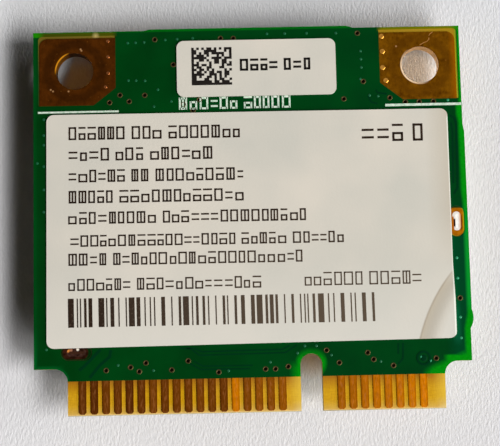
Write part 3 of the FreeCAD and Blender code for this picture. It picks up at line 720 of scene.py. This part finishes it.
# %% Open vias
OPEN_VIAS = [
    (-6.48, 12.67), (-8.96, 8.74), (-9.69, 8.23), (-7.23, 8.70), (-8.32, 8.28), (-5.20, 10.85),
    (-1.87, 12.67), (-0.97, 12.65), (-4.54, 7.99), (-3.42, 8.31), (-3.88, 7.56), (7.76, 12.85),
    (8.07, 9.38), (6.67, 8.16), (10.96, 7.86), (11.93, 7.86), (12.93, 7.86), (9.89, 8.18),
    (-10.09, -10.35), (-8.43, -10.17), (-7.84, -10.47), (-7.38, -9.90), (-5.63, -10.41),
    (-4.50, -9.82), (-2.43, -10.63), (4.95, -9.30), (5.80, -10.16), (0.76, -10.48),
    (1.44, -10.49), (2.31, -10.35), (7.76, -9.52), (8.15, -9.99), (9.49, -10.43),
    (12.43, -10.00), (14.23, -5.93),
]


VIA_RING = ((0.19, 0.0), (0.185, 0.006), (0.15, 0.009), (0.115, 0.003), (0.115, 0.0))
VIA_BORE = ((0.12, 0.0), (0.12, 0.004))


def open_vias(ring_shapes, bore_shapes, face, out):
    """Rings and dark bores on one side of the board. out is 1 for the label side, -1 below."""
    for x, y in OPEN_VIAS:
        for shapes, profile, closed in ((ring_shapes, VIA_RING, False), (bore_shapes, VIA_BORE, True)):
            rings = [circle(x, y, r, face + out * h)[::out] for r, h in profile]
            shapes.loops(rings, closed_ends=closed)


via_rings, via_hole_shades = Shapes(), Shapes()
open_vias(via_rings, via_hole_shades, BOARD_TOP, 1)
open_vias(via_rings, via_hole_shades, BOARD_UNDER, -1)
via_rings.piece("via_rings", via_copper, "plated_copper", smooth=True)
via_hole_shades.piece("via_hole_shades", via_hole_shade, "chip_moulding")

# %% [markdown]
# ## Closed vias and tracks
#
# Copper under the lacquer stands a little proud of the board, and the lacquer follows it. Tracks are
# therefore thin bars and closed vias small domes, lifted so little that only their edges catch the
# light. The tracks are in shades of the mask's green, and the domes are painted a lighter teal as a
# painted glint, brighter on the right of the card.

# %% Closed vias
CLOSED_VIAS = [
    (-8.38, 12.46), (-7.83, 12.47), (-7.23, 12.49), (-5.75, 12.63), (-4.91, 12.67), (-3.82, 12.71),
    (-8.36, 9.77), (-7.82, 9.76), (-7.21, 9.73), (-6.31, 9.08), (-6.60, 7.88), (-5.39, 8.23),
    (-14.27, 7.11), (-14.27, 5.99), (-14.27, 5.31), (-14.28, 3.80), (-14.28, 2.17), (-14.29, 0.62),
    (-14.74, 4.03), (1.40, 12.93), (2.65, 12.92), (4.18, 12.92), (6.24, 12.89), (7.94, 11.56),
    (7.95, 10.98), (7.96, 10.39), (8.48, 8.38), (9.07, 8.31), (13.94, 7.93), (-9.28, -10.02),
    (-6.87, -10.42), (-1.76, -10.55), (-14.15, -8.86), (2.96, -9.45), (4.26, -8.98), (3.47, -8.98),
    (5.27, -9.63), (1.09, -10.02), (8.63, -10.14), (14.12, -3.16), (14.12, -4.56), (14.20, -7.24),
    (14.20, -8.66), (7.86, 9.56), (11.42, -9.90), (12.02, -10.16),
]

# Painted glint: the domes are a lighter teal than the mask, faint on the left and bright on the right.
pimple = Finish("closed_via", roughness=0.3, specular=0.25)
faint = pimple.blend(pimple.noise(6.0), screen(0, 72, 40), screen(6, 96, 58))
plain = pimple.blend(pimple.noise(6.0), screen(10, 112, 72), screen(60, 168, 122))
pimple.colour(pimple.blend(pimple.between(pimple.x, 10.5, 11.2), faint, plain))

closed_vias = Shapes()
for x, y in CLOSED_VIAS:
    profile = ((0.10, 0.0), (0.085, 0.010), (0.05, 0.018), (0.015, 0.021))
    closed_vias.loops([circle(x, y, r, BOARD_TOP + h, 12) for r, h in profile])
closed_vias.piece("closed_vias", pimple.material, "solder_mask", smooth=True)

# %% Tracks
TRACK_RISE = 0.004
TRACKS = [
    (0.10, [(-5.03, -8.95), (-4.27, -9.02), (-3.73, -9.46), (2.15, -9.40), (2.95, -8.90)]),
    (0.10, [(-4.60, -8.95), (-4.05, -8.98), (-3.55, -9.22), (1.95, -9.18), (2.45, -8.92)]),
    (0.10, [(-4.39, -9.99), (-3.64, -10.42), (-0.28, -10.44)]),
    (0.10, [(-4.10, -9.86), (-3.50, -10.20), (-0.10, -10.22)]),
    (0.20, [(-9.76, -8.98), (-9.83, -9.43), (-10.52, -10.00), (-11.20, -10.82)]),
    (0.20, [(-10.46, -8.92), (-10.84, -9.31), (-11.53, -10.00), (-11.91, -10.31)]),
    (0.12, [(10.20, -8.92), (10.16, -9.98), (9.82, -10.35)]),
    (0.12, [(9.88, -8.92), (9.85, -9.65)]),
    (0.13, [(14.01, 6.87), (14.36, 6.62), (14.46, 6.20), (14.36, 1.69), (14.10, 1.30)]),
    (0.11, [(14.10, 6.31), (14.18, 5.73), (14.09, 2.03)]),
    (0.12, [(8.37, 8.35), (8.58, 7.89), (9.02, 7.76)]),
    (0.12, [(8.93, 8.75), (9.05, 8.55), (9.69, 8.45)]),
]

track_finish = speckled("track_under_mask", 1.2, screen(0, 44, 18), screen(0, 52, 26),
                        roughness=0.4, specular=0.02)
tracks = Shapes()
for width, points in TRACKS:
    for (x0, y0), (x1, y1) in zip(points, points[1:]):
        tracks.bar(x0, y0, x1, y1, width, BOARD_TOP, BOARD_TOP + TRACK_RISE)
    for x, y in points[1:-1]:
        tracks.loops([circle(x, y, width / 2, BOARD_TOP + h) for h in (0.0, TRACK_RISE + 0.0005)])
tracks.piece("tracks_under_mask", track_finish, "solder_mask")


# %% Test pad under the mask
def flat_ring(shapes, x, y, inner, outer, z0, z1, count=40):
    """A ring with a rectangular section."""
    start = len(shapes.points)
    for radius, z in ((outer, z0), (outer, z1), (inner, z1), (inner, z0)):
        shapes.points += circle(x, y, radius, z, count)
    for side in range(4):
        a, b = start + side * count, start + (side + 1) % 4 * count
        for i in range(count):
            j = (i + 1) % count
            shapes.faces.append((a + i, a + j, b + j, b + i))


PAD_X, PAD_Y = 11.58, -9.98
PAD_DOME = ((0.22, 0.0), (0.18, 0.018), (0.08, 0.024))
pad = Shapes()
flat_ring(pad, PAD_X, PAD_Y, 0.36, 0.50, BOARD_TOP, BOARD_TOP + 0.02)
pad.loops([circle(PAD_X, PAD_Y, r, BOARD_TOP + h, 24) for r, h in PAD_DOME])
pad.piece("covered_test_pad", track_finish, "solder_mask")

# %% [markdown]
# ## Solder domes on the lands
#
# Four filled vias stand along the inner side of each land. Each is a low dome of solder, bright on top.
# A dome is a few rings of points that close towards the top.

# %% Solder domes
dome_finish = Finish("land_solder", roughness=0.24, metallic=1.0)
# Painted reflection: the domes on the left land are dark brown and those on the right golden.
dome_side = dome_finish.between(dome_finish.x, -6.0, 6.0)
dome_left = dome_finish.blend(dome_finish.noise(5.0), screen(70, 30, 8), screen(150, 92, 50))
dome_right = dome_finish.blend(dome_finish.noise(5.0), screen(130, 80, 14), screen(216, 158, 70))
dome_finish.colour(dome_finish.blend(dome_side, dome_left, dome_right))
dome_places = [(-9.77, 12.62), (-9.77, 11.49), (-9.77, 10.33), (-9.96, 9.35),
               (9.45, 12.58), (9.48, 11.50), (9.46, 10.34), (9.66, 9.41)]
domes = Shapes()
for x, y in dome_places:
    wide = 0.13 if x < 0 else 0.19
    profile = ((wide, 0.0), (wide * 0.92, 0.02), (wide * 0.6, 0.04), (wide * 0.2, 0.048))
    domes.loops([circle(x, y, r, BOARD_TOP + h, 16) for r, h in profile])
domes.piece("land_solder_domes", dome_finish.material, "solder", smooth=True)

# %% [markdown]
# ## The large label
#
# The real label was stuck on a fraction of a degree askew, and its lifted corner never lay quite flat
# again. The piece is a sheet of small cells, so that the crease can be pressed into its upper face. Its
# rows follow a rectangle with rounded corners: each row is as wide as the rectangle is there.

# %% The large label
LABEL_LEFT, LABEL_RIGHT, LABEL_LOW, LABEL_TOP = -14.1, 13.83, -8.85, 7.36
LABEL_TURN = math.radians(-0.16)
LABEL_MIDDLE_X = (LABEL_LEFT + LABEL_RIGHT) / 2
LABEL_MIDDLE_Y = (LABEL_LOW + LABEL_TOP) / 2


def on_label(x, y):
    """Turn a point with the label about its middle."""
    dx, dy = x - LABEL_MIDDLE_X, y - LABEL_MIDDLE_Y
    c, s = math.cos(LABEL_TURN), math.sin(LABEL_TURN)
    return LABEL_MIDDLE_X + dx * c - dy * s, LABEL_MIDDLE_Y + dx * s + dy * c


def on_sheet(x, y):
    """The same turn, with the lower edge cut askew and the lifted corner standing out a little."""
    right_share = (x - LABEL_LEFT) / (LABEL_RIGHT - LABEL_LEFT)
    low_share = min(1.0, max(0.0, (LABEL_LOW + 1.2 - y) / 1.2))
    corner_share = min(1.0, max(0.0, (-3.5 - y) / 2.5)) * right_share ** 8
    return on_label(x + 0.08 * corner_share, y + 0.235 * right_share * low_share)


def label_height(x, y):
    """Top face of the large label: flat, with a crease and a slightly lifted corner."""
    past = CREASE_RADIUS - math.hypot(x - CREASE_X, y - CREASE_Y)
    fade = min(1.0, max(0.0, (-3.0 - y) / 2.0))
    share = min(1.0, max(0.0, past / 1.1))
    lift = 0.055 * share * share * (3 - 2 * share)
    return PAPER_TOP + fade * lift


def rounded_sheet(left, right, low, top, radius, cell, height_at, turn, bottom):
    """A sheet with rounded corners, in rows of equal cells, as one closed piece."""
    rows = [low + radius * (1 - math.cos(math.pi / 2 * i / 6)) for i in range(6)]
    count = max(2, round((top - low - 2 * radius) / cell))
    rows += [low + radius + (top - low - 2 * radius) * i / count for i in range(count + 1)]
    rows += [top - radius * (1 - math.cos(math.pi / 2 * i / 6)) for i in reversed(range(6))]
    columns = max(2, round((right - left) / cell))
    shapes = Shapes()
    uppers, lowers = [], []
    for y in rows:
        near = min(y - low, top - y)
        short = max(0.0, radius - near)
        inset = radius - math.sqrt(max(0.0, radius ** 2 - short ** 2))
        upper, under = [], []
        for i in range(columns + 1):
            x = left + inset + (right - left - 2 * inset) * i / columns
            px, py = turn(x, y)
            upper.append(len(shapes.points))
            shapes.points.append((px, py, height_at(px, py)))
            under.append(len(shapes.points))
            shapes.points.append((px, py, bottom))
        uppers.append(upper)
        lowers.append(under)

    def strip(first, second):
        """A row of faces between two lines of corners."""
        for i in range(len(first) - 1):
            shapes.faces.append((first[i], first[i + 1], second[i + 1], second[i]))

    for r in range(len(rows) - 1):
        strip(uppers[r], uppers[r + 1])
        strip(lowers[r + 1], lowers[r])
    strip(lowers[0], uppers[0])
    strip(uppers[-1], lowers[-1])
    strip([row[0] for row in uppers], [row[0] for row in lowers])
    strip([row[-1] for row in lowers], [row[-1] for row in uppers])
    return shapes


CORNER_RADIUS, CELL = 0.5, 0.22
large_label = rounded_sheet(LABEL_LEFT, LABEL_RIGHT, LABEL_LOW, LABEL_TOP, CORNER_RADIUS, CELL,
                            label_height, on_sheet, BOARD_TOP)
large_label_piece = large_label.piece("large_label_paper", finishes["label_paper"], "label_paper")
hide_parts("large_label")

# %% [markdown]
# ## Print on the labels
#
# What is printed here stands for lines of small type and two kinds of code, without saying anything.
# Each line is a row of plain marks, such as a hollow box, a split box or two dashes, chosen with a
# fixed seed, so that the page has the right greyness at any distance. The bars and the square pattern
# are drawn the same way. Thin raised strips are used and not a painted texture, because the pieces are
# also kept as bare meshes.

# %% Marks of plain print
INK, SUNK = 0.006, 0.02
dice = random.Random(7)


def mark(shapes, x, y, width, height, stroke, base, turn):
    """One mark with its lower left corner at (x, y)."""
    def stroke_bar(x0, y0, x1, y1):
        ax, ay = turn(x0, y0)
        bx, by = turn(x1, y1)
        top = base(ax, ay)
        shapes.bar(ax, ay, bx, by, stroke, top - SUNK, top + INK)

    half = stroke / 2
    left, right, low, top = x + half, x + width - half, y + half, y + height - half

    def box(below, above):
        stroke_bar(left, below - half, left, above + half)
        stroke_bar(right, below - half, right, above + half)
        stroke_bar(left, below, right, below)
        stroke_bar(left, above, right, above)

    kind = dice.choice(("box", "box", "low box", "split box", "capped box", "two dashes"))
    if kind == "low box":
        box(low, low + (top - low) * 0.62)
    elif kind == "two dashes":
        for share in (0.2, 0.7):
            level = low + (top - low) * share
            stroke_bar(left - half, level, right + half, level)
    elif kind == "capped box":
        box(low, low + (top - low) * 0.45)
        stroke_bar(left - half, top, right + half, top)
    else:
        box(low, top)
    if kind == "split box":
        stroke_bar((left + right) / 2, low, (left + right) / 2, top)


def line_of_marks(shapes, left, right, low, height, base, turn, stroke=0.12, breaks=()):
    """A row of marks with small gaps, and wider ones at the breaks, given as shares of its length."""
    x = left
    while x < right - height * 0.4:
        width = height * dice.uniform(0.52, 0.72)
        width = min(width, right - x)
        mark(shapes, x, low, width, height, stroke, base, turn)
        share = (x - left) / (right - left)
        x += width + height * dice.uniform(0.14, 0.22)
        if any(share < b <= (x - left) / (right - left) for b in breaks):
            x += height * 0.35


print("marks ready")

# %% Print of the large label
LINES = [
    (-12.56, -0.66, 5.56, 0.92, 0.125, (0.30, 0.55)),
    (-12.56, -2.55, 4.08, 0.90, 0.125, (0.24, 0.50)),
    (-12.56, -0.48, 2.58, 0.88, 0.12, (0.30, 0.45)),
    (-12.56, -0.46, 1.12, 0.88, 0.12, (0.25,)),
    (-12.60, 3.80, -0.33, 0.84, 0.115, (0.36,)),
    (-12.45, 6.37, -1.90, 0.80, 0.11, (0.60, 0.78)),
    (-12.59, 3.51, -3.20, 0.84, 0.11, (0.14,)),
    (-12.60, 1.06, -4.93, 0.82, 0.105, (0.30,)),
    (3.60, 11.98, -4.86, 0.92, 0.095, (0.47,)),
    (7.82, 12.07, 5.10, 1.22, 0.16, (0.70,)),
]
label_print = Shapes()
for left, right, low, height, stroke, breaks in LINES:
    line_of_marks(label_print, left, right, low, height, label_height, on_label, stroke, breaks)


def faded_ink():
    ink = Finish("label_print", roughness=0.75, specular=0.1)
    fade = ink.times(ink.between(ink.y, 3.0, -5.5), ink.between(ink.x, -11.0, 4.0))
    worn = ink.blend(fade, screen(40, 26, 16), screen(88, 74, 60))
    ink.colour(ink.blend(ink.between(ink.noise(7.0), 0.55, 0.8), worn, screen(96, 82, 68)))
    return ink.material


print_ink = faded_ink()
label_print.piece("large_label_print", print_ink, "chip_moulding")

# %% Bars of the large label
BARS_LEFT, BARS_RIGHT, BARS_LOW, BARS_TOP = -12.63, 8.45, -7.40, -5.42
bars = Shapes()
x = BARS_LEFT
while x < BARS_RIGHT:
    width = dice.choice((0.085, 0.085, 0.17, 0.26, 0.40))
    middle = x + width / 2
    top = label_height(middle, BARS_LOW)
    bars.bar(middle, BARS_LOW, middle - 0.02, BARS_TOP, width, top - SUNK, top + INK)
    x += width + dice.choice((0.13, 0.20, 0.28, 0.42))
bars.piece("large_label_bars", print_ink, "chip_moulding")

# %% Square pattern and line of the small label
def straight(x, y):
    return x, y


def level(height):
    """The height of a flat face, asked for in the same way as label_height."""
    return lambda x, y: height


small_print = Shapes()
CELLS, PATTERN_LEFT, PATTERN_LOW, PATTERN_WIDE, PATTERN_HIGH = 16, -3.92, 9.31, 2.82, 2.69
cell_x, cell_y = PATTERN_WIDE / CELLS, PATTERN_HIGH / CELLS
for row in range(CELLS):
    y = PATTERN_LOW + (row + 0.5) * cell_y
    run = None
    for column in range(CELLS + 1):
        solid_cell = column < CELLS and (row == 0 or column == 0 or dice.random() < 0.52)
        if solid_cell and run is None:
            run = column
        if not solid_cell and run is not None:
            small_print.bar(PATTERN_LEFT + run * cell_x, y, PATTERN_LEFT + column * cell_x, y,
                            cell_y * 1.02, PAPER_TOP - SUNK, PAPER_TOP + INK)
            run = None
line_of_marks(small_print, -0.54, 4.54, 10.28, 0.86, level(PAPER_TOP), straight, 0.16, (0.45,))
small_ink = speckled("small_label_print", 5.0, screen(12, 10, 8), screen(34, 28, 24),
                     roughness=0.75, specular=0.1)
small_print.piece("small_label_print", small_ink, "chip_moulding")

# %% White marks on the board
board_marks = Shapes()
line_of_marks(board_marks, -4.85, 3.34, 7.62, 0.86, level(BOARD_TOP), straight, 0.13, (0.5,))
board_marks.piece("white_board_marks", finishes["white_ink"], "white_ink")

# %% [markdown]
# ## The scratch on the right land
#
# A screwdriver slipped here once. The line starts at the hole's rim and wanders up to the right. A
# thin raised burr of bright metal is enough to show it.

# %% The scratch
scratch_finish = speckled("fresh_scratch", 6.0, screen(160, 100, 30), screen(206, 150, 84),
                          roughness=0.3, metallic=0.5)
SCRATCH = [
    [(12.12, 11.90), (12.42, 12.08), (12.64, 12.15), (12.78, 12.30), (12.80, 12.42)],
    [(12.79, 12.56), (12.88, 12.70), (13.07, 12.84)],
]
scratch = Shapes()
for points in SCRATCH:
    for (x0, y0), (x1, y1) in zip(points, points[1:]):
        scratch.bar(x0, y0, x1, y1, 0.04, BOARD_TOP, BOARD_TOP + 0.006)
scratch.piece("right_land_scratch", scratch_finish, "golden_copper")

# %% [markdown]
# ## Paper table, windows and room
#
# The card lies on its shield on pale paper. The paper's colour holds painted light: it is painted
# lighter where light falls on it through the notch or a hole, and it shades from lighter on the left
# to darker on the right. Three wide lamps on the right stand for the windows. The high one gives most
# of the light.
# One nearer to the finger side and one close to the table soften the shadow that the card throws to
# the left.
#
# The room is dim, and only the camera and shining surfaces see it as pale, so that the gold has
# something to mirror. Together they light a flat surface at a plain level: paper that is written as
# 225 comes out near 225.

# %% Paper table
TABLE_REACH = 1.2


def paper_table():
    mesh = bpy.data.meshes.new("paper_table")
    corners = [(-1, -1), (1, -1), (1, 1), (-1, 1)]
    mesh.from_pydata([(x * TABLE_REACH, y * TABLE_REACH, 0) for x, y in corners], [], [(0, 1, 2, 3)])
    table = bpy.data.objects.new("paper_table", mesh)
    bpy.context.scene.collection.objects.link(table)
    sheet = Finish("table_paper", roughness=0.9, specular=0.1)
    # Painted light: the paper is painted lighter on the left and darker on the right.
    side = sheet.between(sheet.x, -22.0, 10.0)
    middle_tone = sheet.blend(side, screen(253, 251, 253), screen(214, 212, 213))
    low_tone = sheet.blend(side, screen(234, 232, 233), screen(220, 218, 219))
    far_tone = sheet.blend(side, screen(254, 254, 255), screen(222, 222, 224))
    tone = sheet.blend(sheet.between(sheet.y, -8.0, -12.0), middle_tone, low_tone)
    tone = sheet.blend(sheet.between(sheet.y, 4.0, 15.5), tone, far_tone)
    fibre = sheet.noise(3.2, 5.0, (2.0, 0.8, 1.0), 0.6)
    tone = sheet.blend(sheet.times(sheet.between(fibre, 0.3, 0.8), 0.3), tone, screen(244, 243, 243))
    # Painted pools of light on the paper under the notch and under the right screw hole.
    for x, y, inner, outer, shade in ((NOTCH_X, -11.6, 1.2, 2.0, screen(255, 252, 250)),
                                      (NOTCH_X, -9.3, 0.2, 2.0, screen(255, 214, 176)),
                                      (12.0, 10.3, 1.4, 1.9, screen(255, 250, 246))):
        tone = sheet.blend(sheet.round_spot(x, y, inner, outer), tone, shade)
    sheet.colour(tone)
    sheet.bump(fibre, 0.05)
    mesh.materials.append(sheet.material)
    return table


paper_table()
print("paper table")


# %% Windows
WINDOW_DISTANCE = 0.8


def window(name, azimuth, elevation, wide, high, power):
    lamp = bpy.data.lights.new(name, "AREA")
    lamp.shape = "RECTANGLE"
    lamp.size, lamp.size_y = wide, high
    lamp.energy = power
    made = bpy.data.objects.new(name, lamp)
    a, e = math.radians(azimuth), math.radians(elevation)
    toward = Vector((math.cos(e) * math.cos(a), math.cos(e) * math.sin(a), math.sin(e)))
    made.location = toward * WINDOW_DISTANCE
    made.rotation_euler = toward.to_track_quat("Z", "Y").to_euler()
    bpy.context.scene.collection.objects.link(made)
    return made


window("window", -24, 43, 0.60, 0.24, 5.7)
window("low_window", -58, 25, 0.45, 0.22, 3.9)
window("floor_window", -6, 11, 0.60, 0.10, 5.0)
print("windows", WINDOW_DISTANCE, "m away")


# %% Room
def room(dim, pale):
    """A world with one strength for light on the card, and one for the camera and for metal."""
    world = bpy.data.worlds.new("room")
    world.use_nodes = True
    tree = world.node_tree
    back = tree.nodes["Background"]
    back.inputs["Color"].default_value = (1.0, 0.98, 0.97, 1.0)
    rays = tree.nodes.new("ShaderNodeLightPath")
    seen = tree.nodes.new("ShaderNodeMath")
    seen.operation = "MAXIMUM"
    tree.links.new(rays.outputs["Is Camera Ray"], seen.inputs[0])
    tree.links.new(rays.outputs["Is Glossy Ray"], seen.inputs[1])
    level = tree.nodes.new("ShaderNodeMapRange")
    tree.links.new(seen.outputs[0], level.inputs["Value"])
    level.inputs["To Min"].default_value = dim
    level.inputs["To Max"].default_value = pale
    tree.links.new(level.outputs["Result"], back.inputs["Strength"])
    bpy.context.scene.world = world
    return world


room(0.008, 0.8)
bpy.context.scene.view_settings.view_transform = "Standard"
print("lit")
